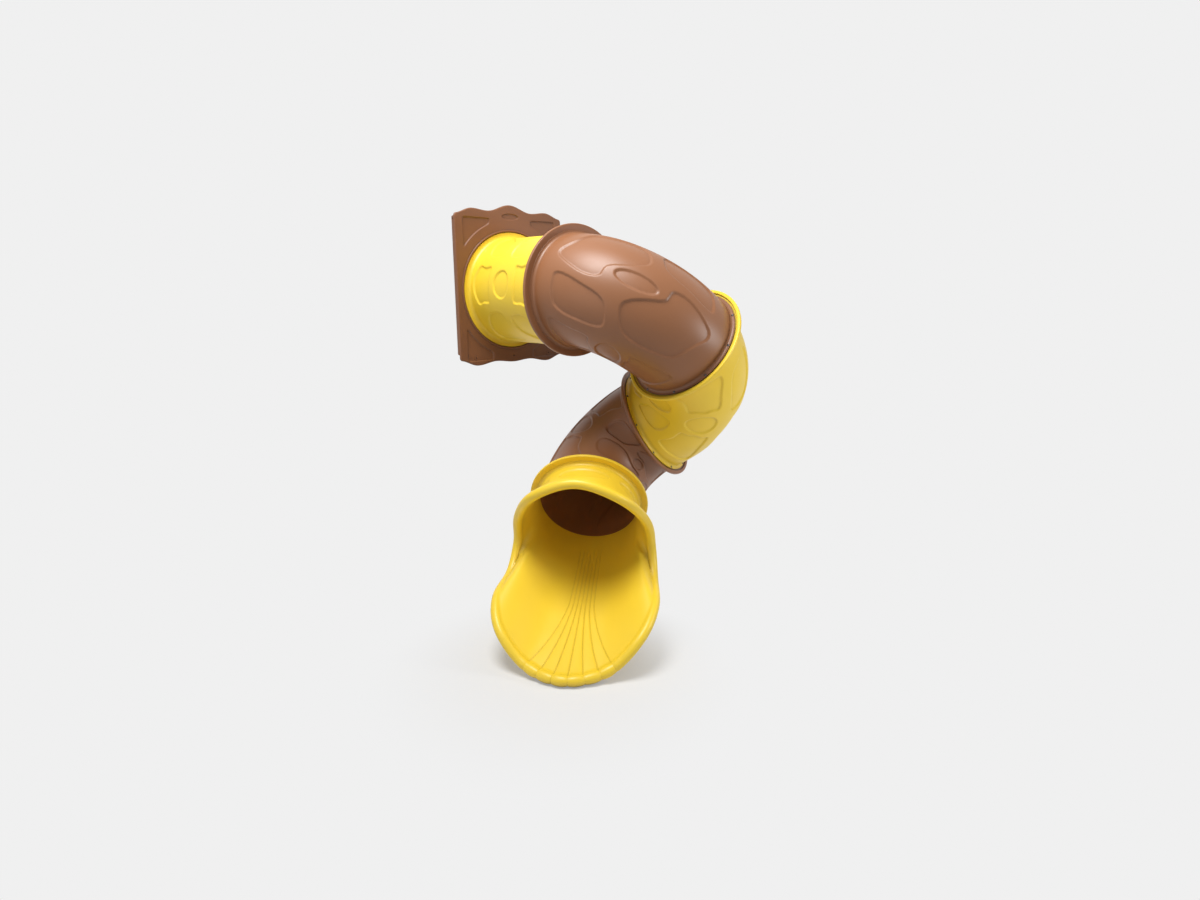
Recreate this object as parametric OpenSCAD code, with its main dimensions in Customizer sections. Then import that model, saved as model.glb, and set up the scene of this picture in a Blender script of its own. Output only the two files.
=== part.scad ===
// Spiral tube slide for a play tower
// A flat entry panel carries a short straight tube, three bent tubes and an open scoop.
// Each section ends in a flange that sits inside the lip of the next one and is bolted to it.
// X runs down the first tube, Z is up, and the origin is the middle of the panel's row of
// platform bolts, on the panel's back face. All lengths are in millimetres.

/* [Tube] */
// Inside diameter of the tube
tube_id = 750; // [700:10:780]
// Wall of the moulded sections
wall = 8; // [6:0.5:10]

/* [Run] */
// Length of the straight entry tube over its flanges
entry_len = 780; // [500:10:1200]
// Bend radius on the centre line of a bent tube
bend_r = 570; // [540:10:700]
// Angle that each bent tube turns through
bend_angle = 90; // [75:1:95]
// Straight end of a bent tube after its bend
spigot_len = 42; // [38:1:90]
// Turn of the upper bent tube about the entry tube
upper_turn = -36; // [-45:0.5:-25]
// Turn of the middle bent tube about the upper one
middle_turn = -38; // [-50:0.5:-25]
// Turn of the lower bent tube about the middle one
lower_turn = -73; // [-85:0.5:-60]

/* [Flanged joints] */
// Width of the flange on the downstream end of a section, beyond the tube
flange_w = 27; // [25:1:34]
// Thickness of that flange
flange_t = 9; // [6:0.5:11]
// Radius of the fillet behind that flange
flange_fillet = 20; // [10:1:24]
// Width of the shoulder that the flange sits on, beyond the tube
shoulder_w = 42; // [40:1:60]
// Thickness of the shoulder
shoulder_t = 12; // [12:0.5:16]
// Width of the rounded lip round the shoulder
lip_w = 25; // [20:1:35]
// Depth of the lip in front of the shoulder
lip_depth = 12; // [10:1:20]
// Rounding of the lip's edges
lip_round = 8; // [3:0.5:9]
// Height of the step behind the shoulder
step_h = 3; // [1:0.5:8]
// Radius of the fillet from the step to the tube
bell_fillet = 22; // [12:1:26]

/* [Entry panel] */
// Width of the panel
panel_w = 972; // [960:2:1100]
// Depth of the panel, from its back face to its front face
panel_depth = 38; // [36:1:60]
// Thickness of the panel's front skin
panel_skin = 10; // [8:0.5:12]
// Height of the panel's middle crest above the tube's centre
crest_up = 622; // [600:1:680]
// How far the side crests lie below the middle crest
side_crest_drop = 37; // [20:1:50]
// How far the valleys lie below the middle crest
valley_drop = 49; // [40:1:60]
// How far the top corners lie below the middle crest
corner_drop = 78; // [65:1:90]
// Depth of the panel's middle lower edge below the tube's centre
hem_down = 544; // [540:1:600]
// Depth of the waves in the lower edge
hem_wave = 13; // [4:1:16]
// Height of the side flanges' lower end below the tube's centre
side_flange_down = 467; // [300:1:480]
// Width of the raised ring round the opening
ring_w = 14; // [10:1:24]
// Height of that ring above the panel's face
ring_h = 6; // [3:0.5:12]
// Depth of the corner pockets
pocket_depth = 4; // [1:0.5:5]
// Width of the entry tube's upper flange, beyond the tube
collar_w = 45; // [40:1:60]
// Radius of the fillet in front of that flange
collar_fillet = 30; // [15:1:38]

/* [Platform bolts] */
// Distance of the bolt row below the tube's centre
bolt_row_down = 496; // [485:1:505]
// Spacing of the bolts in the row
bolt_pitch = 345; // [250:5:380]
// Diameter of the bolt holes
platform_hole_d = 11; // [8:0.5:14]
// Diameter of the bosses round the holes
boss_d = 36; // [24:1:44]
// Height of the post bolts in the side flanges above the tube's centre
side_hole_up = 505; // [400:5:520]

/* [Joint fasteners] */
// Bolts in each joint
bolts_per_joint = 10; // [6:1:16]
// Distance of the bolt circle beyond the tube's outside
bolt_out = 16; // [15:0.5:18]
// Shank diameter of a joint bolt
bolt_d = 8; // [6:1:8]
// Length of a joint bolt under its head
bolt_len = 19; // [17:0.5:20]
// Diameter of the bolt's button head
head_d = 14; // [12:0.5:15]
// Height of the bolt's button head
head_h = 4.4; // [3:0.1:6]
// Hexagon socket across its corners
socket_d = 5.6; // [3:0.1:6]
// Outside diameter of a washer
washer_d = 16; // [15:0.5:17]
// Thickness of a washer
washer_t = 1.6; // [1:0.1:2]
// Outside diameter of a threaded insert
insert_d = 11; // [10:0.5:12]
// Length of a threaded insert
insert_len = 10; // [8.5:0.5:11]

/* [Scoop] */
// Length of the round neck before the scoop opens
neck_len = 60; // [50:1:100]
// Reach of the hood's edge in front of the last joint
hood_reach = 617; // [560:1:680]
// Height of the hood's edge above the last joint
hood_up = 304; // [280:1:340]
// Reach of the notches in the scoop's cheeks
cheek_reach = 257; // [240:1:300]
// Depth of those notches below the last joint
cheek_down = 253; // [220:1:280]
// Reach of the scoop's foot in front of the last joint
foot_reach = 1137; // [1080:1:1300]
// Depth of the foot's edge below the last joint
foot_down = 879; // [850:1:920]
// How far the scoop's sides spread beyond the tube
side_spread = 167; // [130:1:220]
// Radius of the rolled edge
bead_r = 36; // [28:1:42]

/* [Clearances] */
// Gap round a bolt in a flange's hole
hole_gap = 0.5; // [0.2:0.1:0.8]
// Gap round a bolt in its threaded insert
thread_gap = 0.05; // [0.02:0.01:0.2]
// Gap round an insert in its shoulder
insert_gap = 0.05; // [0.02:0.01:0.2]
// Gap round a washer in its seat
seat_gap = 1; // [0.5:0.1:1.4]
// Gap round the entry tube's flange in the panel
collar_gap = 2; // [0.5:0.5:4]

/* [Hidden] */

brown = [0.42, 0.22, 0.11];
yellow = [0.95, 0.75, 0.10];
steel = [0.72, 0.73, 0.75];
brass = [0.80, 0.65, 0.30];

// Facets of the large and small round shapes, and a small overlap for clean cuts
big_fn = 96;
small_fn = 32;
eps = 0.5;

bore_r = tube_id / 2;
tube_r = bore_r + wall;
// Rings round the tube start halfway through its wall, so that they join it cleanly
mid_wall_r = bore_r + wall / 2;
bolt_circle_r = tube_r + bolt_out;
flange_r = tube_r + flange_w;
shoulder_r = tube_r + shoulder_w;
lip_r = shoulder_r + lip_w;
collar_r = tube_r + collar_w;
opening_r = collar_r + collar_gap;
ring_r = opening_r + ring_w;
seat_r = washer_d / 2 + seat_gap;
// Thickness of the entry tube's upper flange and of the panel's ledge behind it
collar_t = shoulder_t;
ledge_t = flange_t;
// Height of the tube's centre above the row of platform bolts
axis_up = bolt_row_down;
// Where the entry tube's upper flange seats on the panel's ledge
ledge_x = panel_depth - collar_t;

function turn_x(a) = [[1, 0, 0], [0, cos(a), -sin(a)], [0, sin(a), cos(a)]];
function turn_z(a) = [[cos(a), -sin(a), 0], [sin(a), cos(a), 0], [0, 0, 1]];
// Half-cosine blend from a to b, and a wave through keys of [place, height]
function blend(a, b, t) = a + (b - a) * (1 - cos(180 * t)) / 2;
function wave(keys, s, i = 0) =
  s <= keys[i + 1][0] || i == len(keys) - 2
    ? blend(keys[i][1], keys[i + 1][1], (s - keys[i][0]) / (keys[i + 1][0] - keys[i][0]))
    : wave(keys, s, i + 1);

// Directions of the sections: columns are along the tube, the bend's side and across
upper_frame = turn_x(upper_turn);
middle_frame = upper_frame * turn_z(bend_angle) * turn_x(middle_turn);
lower_frame = middle_frame * turn_z(bend_angle) * turn_x(lower_turn);
end_frame = lower_frame * turn_z(bend_angle);
// Turn that brings the scoop upright, to a tenth of a degree, and the slope of the tube there
scoop_turn = round(10 * atan2(-end_frame[2][1], end_frame[2][2])) / 10;
scoop_slope = asin(-end_frame[2][0]);

// Places the children at a section's upper seat: X along the tube, Y towards the bend
module at_entry() translate([ledge_x, 0, axis_up]) children();
module at_upper() at_entry() translate([entry_len, 0, 0]) rotate([upper_turn, 0, 0]) children();
module after_bend() translate([bend_r * sin(bend_angle), bend_r * (1 - cos(bend_angle)), 0])
  rotate([0, 0, bend_angle]) translate([spigot_len, 0, 0]) children();
module at_middle() at_upper() after_bend() rotate([middle_turn, 0, 0]) children();
module at_lower() at_middle() after_bend() rotate([lower_turn, 0, 0]) children();
module at_scoop() at_lower() after_bend() rotate([scoop_turn, 0, 0]) children();

// Revolves a profile of [radius, place along X] about the X axis
module ring_about_x() rotate([0, 90, 0]) rotate_extrude($fn = big_fn) children();
module rod_about_x(x0, x1, r) translate([x0, 0, 0]) rotate([0, 90, 0])
  cylinder(h = x1 - x0, r = r, $fn = big_fn);
// Rectangle with four round corners
module pad(low, high, r) {
  translate([low[0] + r, low[1]]) square([high[0] - low[0] - 2 * r, high[1] - low[1]]);
  translate([low[0], low[1] + r]) square([high[0] - low[0], high[1] - low[1] - 2 * r]);
  for (x = [low[0] + r, high[0] - r], y = [low[1] + r, high[1] - r])
    translate([x, y]) circle(r, $fn = small_fn);
}
// Concave fillet that leaves the tube and meets a face at x, facing towards side
module fillet_profile(x, r, side) {
  difference() {
    translate([mid_wall_r, side > 0 ? x : x - r]) square([tube_r + r - mid_wall_r, r]);
    translate([tube_r + r, x + side * r]) circle(r, $fn = big_fn);
  }
}

// Shoulder, lip and fillet on the upper end of a section
module bell_profile() {
  translate([mid_wall_r, 0]) square([shoulder_r + lip_w / 2 - mid_wall_r, shoulder_t]);
  pad([shoulder_r, -lip_depth], [lip_r, shoulder_t], lip_round);
  translate([mid_wall_r, 0]) square([tube_r + bell_fillet - mid_wall_r, shoulder_t + step_h]);
  fillet_profile(shoulder_t + step_h, bell_fillet, 1);
}
// Flange and fillet on the lower end of a section, whose face lies at x
module flange_profile(x) {
  translate([mid_wall_r, x - flange_t]) square([flange_r - mid_wall_r, flange_t]);
  fillet_profile(x - flange_t, flange_fillet, -1);
}
// Upper flange of the entry tube, facing the panel
module collar_profile() {
  translate([mid_wall_r, 0]) square([collar_r - mid_wall_r, collar_t]);
  fillet_profile(collar_t, collar_fillet, 1);
}

module bolt_places() for (k = [0:bolts_per_joint - 1])
  rotate([(k + 0.5) * 360 / bolts_per_joint, 0, 0]) translate([0, 0, bolt_circle_r]) children();
// Holes and washer seats in a lower flange whose face lies at x
module flange_holes(x) bolt_places() {
  rod_small(x - flange_t - eps, x + eps, bolt_d / 2 + hole_gap);
  rod_small(x - flange_t - flange_fillet - eps, x - flange_t, seat_r);
}
// Blind pockets for the inserts, open towards the upper end at X = 0
module insert_pockets() bolt_places() rod_small(-eps, insert_len, insert_d / 2 + insert_gap);
module rod_small(x0, x1, r) translate([x0, 0, 0]) rotate([0, 90, 0])
  cylinder(h = x1 - x0, r = r, $fn = small_fn);

// Button head bolt along +X, with the underside of its head at X = 0
module bolt() {
  difference() {
    rotate([0, 90, 0]) rotate_extrude($fn = small_fn) {
      square([bolt_d / 2, bolt_len]);
      intersection() {
        translate([0, -head_h]) square([head_d / 2, head_h]);
        translate([0, head_d / 2 + bolt_d / 4 - head_h]) circle(head_d / 2 + bolt_d / 4, $fn = big_fn);
      }
    }
    translate([-head_h - eps, 0, 0]) rotate([0, 90, 0]) cylinder(h = head_h / 2 + eps, d = socket_d, $fn = 6);
  }
}
module washer() difference() {
  rod_small(0, washer_t, washer_d / 2);
  rod_small(-eps, washer_t + eps, bolt_d / 2 + hole_gap);
}
module insert() difference() {
  rod_small(0, insert_len, insert_d / 2);
  rod_small(-eps, insert_len + eps, bolt_d / 2 + thread_gap);
}
// Fasteners of one joint, whose flange or ledge of thickness t ends at X = 0
module joint_bolts(t) color(steel) bolt_places() translate([-t - washer_t, 0, 0]) bolt();
module joint_washers(t) color(steel) bolt_places() translate([-t - washer_t, 0, 0]) washer();
module joint_inserts() color(brass) bolt_places() insert();

// Half outline of the panel's upper and lower edges, as waves of [distance from middle, height]
half_w = panel_w / 2;
top_keys = [
  [0, crest_up],
  [0.41 * half_w, crest_up - valley_drop],
  [0.68 * half_w, crest_up - side_crest_drop],
  [half_w, crest_up - corner_drop]
];
hem_keys = [
  [0, -hem_down],
  [0.32 * half_w, -hem_down + hem_wave],
  [0.67 * half_w, -hem_down - hem_wave + 2],
  [half_w, -hem_down + 2.5 * hem_wave]
];
edge_steps = 24;
module panel_outline() polygon([
  for (i = [-edge_steps:edge_steps]) let (y = half_w * i / edge_steps) [y, wave(top_keys, abs(y))],
  for (i = [edge_steps:-1:-edge_steps]) let (y = half_w * i / edge_steps) [y, wave(hem_keys, abs(y))]
]);
// Puts a drawing of [Y, Z] on the panel, between two places along X
module across_panel(x0, x1) translate([x0, 0, axis_up]) rotate([90, 0, 90])
  linear_extrude(height = x1 - x0) children();
// Corner pockets: a box cut back by a circle round the opening
upper_pocket_gap = 72;
lower_pocket_gap = 52;
pocket_in = 190;
pocket_out = half_w - 70;
pocket_top = crest_up - corner_drop - 25;
pocket_foot = hem_wave - hem_down + 12;
module corner_pocket(low, high, gap) difference() {
  translate([pocket_in, low]) square([pocket_out - pocket_in, high - low]);
  circle(ring_r + gap, $fn = big_fn);
}
module pockets() for (side = [0, 1]) mirror([side, 0]) {
  corner_pocket(ring_r / 2, pocket_top, upper_pocket_gap);
  corner_pocket(pocket_foot, -ring_r / 2, lower_pocket_gap);
}
crest_oval = [73, 21];
oval_drop = 84;
module crest_pocket() translate([0, crest_up - oval_drop]) polygon([
  for (a = [0:10:350]) [crest_oval[0] * cos(a), crest_oval[1] * sin(a)]
]);
side_hole_x = (panel_depth - panel_skin) / 2;
module platform_places() for (y = [-bolt_pitch, 0, bolt_pitch]) translate([0, y, 0]) children();

module entry_panel() color(brown) difference() {
  union() {
    across_panel(panel_depth - panel_skin, panel_depth) difference() {
      panel_outline();
      circle(ring_r - eps, $fn = big_fn);
    }
    // Side flanges
    for (side = [-1, 1]) translate([0, side > 0 ? half_w - panel_skin : -half_w, axis_up - side_flange_down])
      cube([panel_depth - eps, panel_skin, side_flange_down + crest_up - corner_drop - panel_skin]);
    // Raised ring, socket wall and ledge that carry the entry tube
    translate([0, 0, axis_up]) ring_about_x() {
      pad([opening_r, ledge_x - ledge_t], [ring_r, panel_depth + ring_h], ring_w / 2 - 0.5);
      translate([bore_r, ledge_x - ledge_t]) square([opening_r + ring_w - 2 - bore_r, ledge_t]);
      translate([bore_r, 0]) square([wall, ledge_x]);
    }
    platform_places() rod_small(0, panel_depth - eps, boss_d / 2);
  }
  across_panel(panel_depth - pocket_depth, panel_depth + eps) pockets();
  across_panel(panel_depth - pocket_depth, panel_depth + eps) crest_pocket();
  platform_places() rod_small(-eps, panel_depth + eps, platform_hole_d / 2);
  // Post bolt holes in the side flanges
  translate([side_hole_x, 0, axis_up + side_hole_up]) rotate([90, 0, 0])
    cylinder(h = panel_w + 2 * eps, d = platform_hole_d, center = true, $fn = small_fn);
  at_entry() bolt_places() rod_small(-ledge_t - eps, eps, bolt_d / 2 + hole_gap);
}

// Each lower flange is drilled to suit the turn of the next section
module entry_tube() color(yellow) at_entry() difference() {
  ring_about_x() {
    collar_profile();
    translate([bore_r, 0]) square([wall, entry_len]);
    flange_profile(entry_len);
  }
  insert_pockets();
  rotate([upper_turn, 0, 0]) flange_holes(entry_len);
}

// Turns a part that was revolved about the bend's centre so that it starts along X
module about_bend() translate([0, bend_r, 0]) rotate([0, 0, -90]) children();
module bent_tube(next_turn) {
  about_bend() rotate_extrude(angle = bend_angle, $fn = big_fn) translate([bend_r, 0]) difference() {
    circle(tube_r, $fn = big_fn);
    circle(bore_r, $fn = big_fn);
  }
  difference() {
    ring_about_x() bell_profile();
    insert_pockets();
  }
  after_bend() difference() {
    ring_about_x() {
      translate([bore_r, -spigot_len]) square([wall, spigot_len]);
      flange_profile(0);
    }
    rotate([next_turn, 0, 0]) flange_holes(0);
  }
}
module upper_bend() color(brown) at_upper() bent_tube(middle_turn);
module middle_bend() color(yellow) at_middle() bent_tube(lower_turn);
module lower_bend() color(brown) at_lower() bent_tube(scoop_turn);

// The rolled edge of the scoop runs through these places, from the top of the hood round the
// left side to the foot: [reach, left, up] from the last joint, with the reach level
widest = tube_r + side_spread;
// Side of the hood, behind and below its top
hood_side_share = 0.55;
hood_side_back = 45;
hood_side_drop = 112;
// Top of a cheek, in front of and above its notch
cheek_top_ahead = 100;
cheek_top_rise = 224;
cheek_top_out = 80;
notch_out = 113;
// Belly of a cheek and the widest place, in front of and below the notch
belly_ahead = 136;
belly_drop = 196;
belly_out = 140;
widest_ahead = 445;
widest_drop = 267;
// Side and toe of the foot, behind and above its edge
foot_side_back = 208;
foot_side_rise = 225;
foot_side_in = 76;
toe_share = 0.5;
toe_back = 103;
toe_rise = 34;
left_keys = [
  [hood_reach, 0, hood_up],
  [hood_reach - hood_side_back, hood_side_share * widest, hood_up - hood_side_drop],
  [cheek_reach + cheek_top_ahead, tube_r + cheek_top_out, cheek_top_rise - cheek_down],
  [cheek_reach, tube_r + notch_out, -cheek_down],
  [cheek_reach + belly_ahead, tube_r + belly_out, -cheek_down - belly_drop],
  [cheek_reach + widest_ahead, widest, -cheek_down - widest_drop],
  [foot_reach - foot_side_back, widest - foot_side_in, foot_side_rise - foot_down],
  [foot_reach - toe_back, toe_share * widest, toe_rise - foot_down],
  [foot_reach, 0, -foot_down]
];
// Angle round the neck where the wall to each of those places starts
left_angles = [0, 33, 65, 90, 104, 113, 127, 152, 180];
half = len(left_keys) - 1;
function level_to_tube(p) = [
  p[0] * cos(scoop_slope) - p[2] * sin(scoop_slope),
  p[1],
  p[0] * sin(scoop_slope) + p[2] * cos(scoop_slope)
];
function key(i) = let (k = (i + 2 * half) % (2 * half))
  level_to_tube(k <= half ? left_keys[k] : [left_keys[2 * half - k][0], -left_keys[2 * half - k][1],
    left_keys[2 * half - k][2]]);
function key_angle(i) = i < 0 ? -left_angles[-i]
  : i <= half ? left_angles[i]
  : i <= 2 * half ? 360 - left_angles[2 * half - i]
  : 360 + left_angles[i - 2 * half];
// Smooth curve through four places, from b to c
function smooth(a, b, c, d, t) =
  (2 * b + (c - a) * t + (2 * a - 5 * b + 4 * c - d) * t * t + (3 * b - a - 3 * c + d) * t * t * t) / 2;
function edge_at(s) = let (i = floor(s)) smooth(key(i - 1), key(i), key(i + 1), key(i + 2), s - i);
function angle_at(s) = let (i = floor(s))
  smooth(key_angle(i - 1), key_angle(i), key_angle(i + 1), key_angle(i + 2), s - i);
function unit(v) = v / norm(v);
function bezier(a, b, c, t) = (1 - t) * (1 - t) * a + 2 * t * (1 - t) * b + t * t * c;

// Steps round the scoop between two places of the edge, along its wall, and round the rolled edge
round_steps = 4;
wall_steps = 6;
bead_steps = 10;
// The wall's thin end is sunk into the neck by these amounts along and across
sink_along = 3;
sink_across = 2;
// Share of the way to the edge where the wall still runs along the neck
lead = 0.5;
// Frame of the rolled edge at s: [centre, forward, outward, start on the neck, start direction]
function edge_frame(s) =
  let (
    centre = edge_at(s),
    a = angle_at(s),
    radial = [0, sin(a), cos(a)],
    start = [neck_len - sink_along, 0, 0] + (bore_r + sink_across) * radial,
    bend_at = start + [lead * norm(centre - start), 0, 0],
    along = unit(edge_at(s + 0.01) - edge_at(s - 0.01)),
    toward = centre - bend_at,
    forward = unit(toward - (toward * along) * along)
  ) [centre, forward, unit(cross(forward, along)), start, bend_at, radial];
// One closed outline of the wall and its rolled edge
function scoop_section(s) =
  let (
    f = edge_frame(s),
    inner_end = f[0] - bead_r * f[2],
    outer_start = f[3] + (wall - 2 * sink_across) * f[5],
    outer_bend = f[4] + wall * unit(f[2] + f[5]),
    last = 360 - acos((bead_r - wall) / bead_r),
    outer_end = f[0] + bead_r * (sin(last) * f[1] - cos(last) * f[2])
  ) [
    for (i = [0:wall_steps]) bezier(f[3], f[4], inner_end, i / wall_steps),
    for (i = [1:bead_steps - 1]) let (a = last * i / bead_steps) f[0] + bead_r * (sin(a) * f[1] - cos(a) * f[2]),
    for (i = [wall_steps:-1:0]) bezier(outer_start, outer_bend, outer_end, i / wall_steps)
  ];
// Outline of the hollow inside the rolled edge
function hollow_section(s) = let (f = edge_frame(s)) [
  for (a = [0:360 / bead_steps:359]) f[0] + (bead_r - wall) * (sin(a) * f[1] - cos(a) * f[2])
];
// Closed skin through a ring of outlines
module skin(sections) {
  n = len(sections);
  m = len(sections[0]);
  polyhedron([for (s = sections) each s], [
    for (i = [0:n - 1], j = [0:m - 1])
      let (p = i * m + j, q = i * m + (j + 1) % m, r = (i + 1) % n * m + j, t = (i + 1) % n * m + (j + 1) % m)
        each [[p, q, r], [q, t, r]]
  ]);
}
stations = [for (i = [0:2 * half * round_steps - 1]) i / round_steps];
module exit_scoop() color(yellow) at_scoop() difference() {
  union() {
    ring_about_x() {
      bell_profile();
      translate([bore_r, 0]) square([wall, neck_len]);
    }
    skin([for (s = stations) scoop_section(s)]);
  }
  skin([for (s = stations) hollow_section(s)]);
  insert_pockets();
}

entry_panel();
entry_tube();
upper_bend();
middle_bend();
lower_bend();
exit_scoop();
at_entry() joint_bolts(ledge_t);  // panel_bolts
at_entry() joint_washers(ledge_t);  // panel_washers
at_entry() joint_inserts();  // panel_inserts
at_upper() joint_bolts(flange_t);  // joint_1_bolts
at_upper() joint_washers(flange_t);  // joint_1_washers
at_upper() joint_inserts();  // joint_1_inserts
at_middle() joint_bolts(flange_t);  // joint_2_bolts
at_middle() joint_washers(flange_t);  // joint_2_washers
at_middle() joint_inserts();  // joint_2_inserts
at_lower() joint_bolts(flange_t);  // joint_3_bolts
at_lower() joint_washers(flange_t);  // joint_3_washers
at_lower() joint_inserts();  // joint_3_inserts
at_scoop() joint_bolts(flange_t);  // joint_4_bolts
at_scoop() joint_washers(flange_t);  // joint_4_washers
at_scoop() joint_inserts();  // joint_4_inserts
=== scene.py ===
# %% [markdown]
# # A spiral tube slide
# The slide is a chain of hollow plastic mouldings: a flat panel, a straight tube, three bent tubes
# and an open scoop at the foot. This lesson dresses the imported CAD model. The mouldings get their
# rounded edges, shallow moulded recesses and satin plastic here, and the bolts, washers and
# inserts stay as the CAD made them.

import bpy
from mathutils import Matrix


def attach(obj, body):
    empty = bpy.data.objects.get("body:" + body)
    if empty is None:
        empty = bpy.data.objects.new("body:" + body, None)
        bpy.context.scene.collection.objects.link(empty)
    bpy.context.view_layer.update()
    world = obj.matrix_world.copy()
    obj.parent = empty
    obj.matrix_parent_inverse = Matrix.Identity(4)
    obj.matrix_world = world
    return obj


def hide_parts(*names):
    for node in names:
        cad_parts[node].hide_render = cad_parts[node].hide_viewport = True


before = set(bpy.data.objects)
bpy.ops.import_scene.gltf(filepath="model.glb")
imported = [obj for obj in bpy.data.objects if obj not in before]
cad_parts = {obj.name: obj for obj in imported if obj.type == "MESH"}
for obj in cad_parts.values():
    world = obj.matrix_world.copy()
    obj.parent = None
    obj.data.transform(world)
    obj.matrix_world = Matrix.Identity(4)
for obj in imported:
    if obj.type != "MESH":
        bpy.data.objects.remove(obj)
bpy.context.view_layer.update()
print("CAD nodes:", len(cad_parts))

# %% Modules and short names
import math

import bpy
import numpy as np
from mathutils import Matrix, Vector

cos, sin, pi = np.cos, np.sin, math.pi

# %% [markdown]
# ## Where the sections are
# On the real slide each tube is bolted to the one above it, so each has its own direction. The
# places could be typed as six matrices, but they are worked out the way the slide is put
# together, so that one changed angle moves everything below it. X runs along a
# section's tube, Y points to the side that it bends to. Lengths are in millimetres until a mesh
# is made.

# %% Sizes of the tube and the run
BORE, TUBE = 375.0, 383.0
BEND, SPIGOT, ENTRY = 570.0, 42.0, 780.0
LEDGE, AXIS_UP = 26.0, 496.0


def turn_x(degrees):
    a = math.radians(degrees)
    return np.array([[1, 0, 0], [0, cos(a), -sin(a)], [0, sin(a), cos(a)]])


def turn_z(degrees):
    a = math.radians(degrees)
    return np.array([[cos(a), -sin(a), 0], [sin(a), cos(a), 0], [0, 0, 1]])


# %% Places of the sections
def next_place(place, turn):
    """The upper seat of the section that follows a bent tube."""
    turned, origin = place
    end = turned @ turn_z(90)
    origin = origin + turned @ np.array([BEND, BEND, 0]) + end @ np.array([SPIGOT, 0, 0])
    return end @ turn_x(turn), origin


turns = {"upper": -36, "middle": -38, "lower": -73}
places = {"entry": (np.eye(3), np.array([LEDGE, 0, AXIS_UP]))}
places["upper"] = (turn_x(turns["upper"]), places["entry"][1] + [ENTRY, 0, 0])
places["middle"] = next_place(places["upper"], turns["middle"])
places["lower"] = next_place(places["middle"], turns["lower"])
end_turned = places["lower"][0] @ turn_z(90)
turns["scoop"] = round(math.degrees(math.atan2(-end_turned[2, 1], end_turned[2, 2])), 1)
places["scoop"] = next_place(places["lower"], turns["scoop"])
scoop_slope = math.asin(-end_turned[2, 0])
print("scoop turn", turns["scoop"], "slope", round(math.degrees(scoop_slope), 2))

# %% [markdown]
# ## Skins
# A rotomoulded piece is one closed skin. It could be modelled by hand and subdivided, but every
# outline here is a formula, so the mesh is written as a grid of points that closes on itself both
# ways: round the tube, and along its wall, out over the flange and back through the bore.


# %% A closed skin from a grid of points
def skin(name, grid, place=None):
    """A mesh object from rows x columns x 3 points, closed both ways."""
    rows, columns = grid.shape[:2]
    points = grid.reshape(-1, 3)
    if place is not None:
        points = points @ place[0].T + place[1]
    i, j = np.meshgrid(np.arange(rows), np.arange(columns), indexing="ij")
    down, right = (i + 1) % rows, (j + 1) % columns
    faces = np.stack([i * columns + j, i * columns + right, down * columns + right, down * columns + j], -1)
    faces = faces.reshape(-1, 4)
    corners = points[faces]
    volume = np.einsum("ij,ij->i", corners[:, 0], np.cross(corners[:, 1], corners[:, 2])).sum()
    volume += np.einsum("ij,ij->i", corners[:, 0], np.cross(corners[:, 2], corners[:, 3])).sum()
    return mesh_object(name, points, faces if volume > 0 else faces[:, ::-1])


def mesh_object(name, points, faces):
    mesh = bpy.data.meshes.new(name)
    mesh.vertices.add(len(points))
    mesh.vertices.foreach_set("co", (points / 1000).astype(np.float32).ravel())
    mesh.loops.add(faces.size)
    mesh.loops.foreach_set("vertex_index", faces.astype(np.int32).ravel())
    mesh.polygons.add(len(faces))
    mesh.polygons.foreach_set("loop_start", np.arange(0, faces.size, faces.shape[1], dtype=np.int32))
    mesh.update(calc_edges=True)
    mesh.validate()
    obj = bpy.data.objects.new(name, mesh)
    bpy.context.scene.collection.objects.link(obj)
    return obj


# %% [markdown]
# ## Softened outlines
# Moulded plastic has no sharp corners, and it is the rounded edges that catch the light. A bevel
# modifier could round them, but it would also find the grid's own edges, so the
# outline is rounded before it is turned into a skin.


# %% An outline with rounded corners
def softened(corners, steps=4):
    """Points along a line through (x, radius, rounding) corners."""
    points = []
    for k, (x, r, rounding) in enumerate(corners):
        here = np.array([x, r], float)
        if k in (0, len(corners) - 1) or rounding == 0:
            points.append(here)
            continue
        before = np.array(corners[k - 1][:2], float) - here
        after = np.array(corners[k + 1][:2], float) - here
        a = here + before / np.linalg.norm(before) * min(rounding, 0.49 * np.linalg.norm(before))
        b = here + after / np.linalg.norm(after) * min(rounding, 0.49 * np.linalg.norm(after))
        for t in np.linspace(0, 1, steps + 1):
            points.append((1 - t) ** 2 * a + 2 * t * (1 - t) * here + t * t * b)
    return np.array(points)


def stepped(line, step):
    """The same line with more points, no further apart than step."""
    points = [line[0]]
    for a, b in zip(line[:-1], line[1:]):
        n = max(1, math.ceil(np.linalg.norm(b - a) / step))
        points += [a + (b - a) * t for t in np.arange(1, n + 1) / n]
    return np.array(points)


# %% The bell: shoulder, lip and band at the upper end of a section
LIP_IN, LIP_OUT, LIP_HIGH = 425.0, 450.0, 12.0
BAND, SHOULDER, STEP = 405.0, 15.0, 12.0
bell_corners = [
    (0, BORE, 0), (0, LIP_IN, 1.5), (-LIP_HIGH, LIP_IN, 8), (-LIP_HIGH, LIP_OUT, 8),
    (LIP_HIGH, LIP_OUT, 8), (LIP_HIGH, BAND + 0.5, 1), (SHOULDER, BAND, 1.2),
    (SHOULDER + 0.3, BAND - 0.4, 0),
]
bell_line = stepped(softened(bell_corners), STEP)
bell_fillet, fillet_turns = 22.0, np.linspace(0.12, pi / 2, 6)
print("points on the bell's outline:", len(bell_line))

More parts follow.
